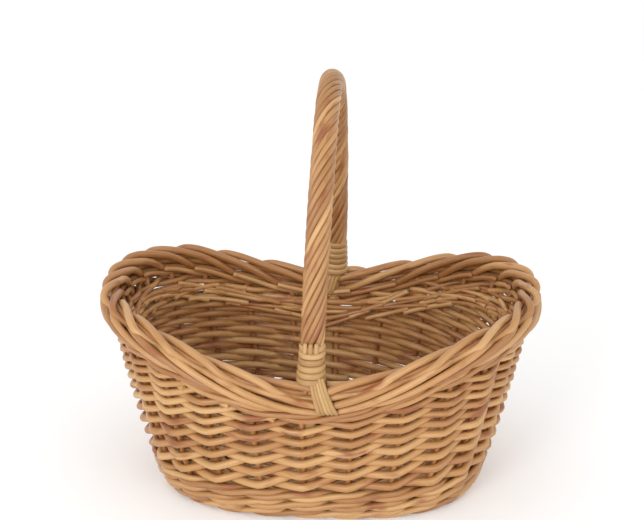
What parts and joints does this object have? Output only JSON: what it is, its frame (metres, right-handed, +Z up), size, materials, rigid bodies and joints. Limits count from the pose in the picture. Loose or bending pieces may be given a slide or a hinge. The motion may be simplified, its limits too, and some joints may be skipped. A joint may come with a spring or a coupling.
{
  "type": "market basket",
  "caption": "Boat-shaped woven willow shopping basket with a raised rim at both ends, a laid border and one fixed roped bow handle across the middle.",
  "frame": {"origin": "centre of the foot, on the surface the basket stands on", "axes": "+X along the rim's length, towards the viewer's right; +Y from the front handle foot to the rear one; +Z up"},
  "size_m": [0.42, 0.312, 0.405],
  "materials": {
    "base_sticks": "thin clear varnish over peeled willow, semi-gloss",
    "base_willow": "thin clear varnish over peeled willow, semi-gloss",
    "stake_willow": "thin clear varnish over peeled willow, semi-gloss",
    "side_willow": "thin clear varnish over peeled willow, semi-gloss",
    "border_willow": "thin clear varnish over peeled willow, semi-gloss",
    "bow_willow": "thin clear varnish over peeled willow, semi-gloss",
    "rope_willow": "thin clear varnish over peeled willow, semi-gloss",
    "pale_skein": "thin clear varnish over peeled willow, semi-gloss"
  },
  "bodies": {
    "root": {"base_long_sticks": "base_sticks", "base_cross_sticks": "base_sticks", "base_weave": "base_willow", "side_stakes": "stake_willow", "foot_wale": "side_willow", "side_weave": "side_willow", "left_end_packing": "side_willow", "right_end_packing": "side_willow", "top_wale": "side_willow", "left_border": "border_willow", "right_border": "border_willow", "handle_bow": "bow_willow", "handle_rope": "rope_willow", "front_binding": "pale_skein", "rear_binding": "pale_skein", "front_rope_ends": "pale_skein", "rear_rope_ends": "pale_skein", "front_pegs": "pale_skein", "rear_pegs": "pale_skein"}
  },
  "joints": []
}
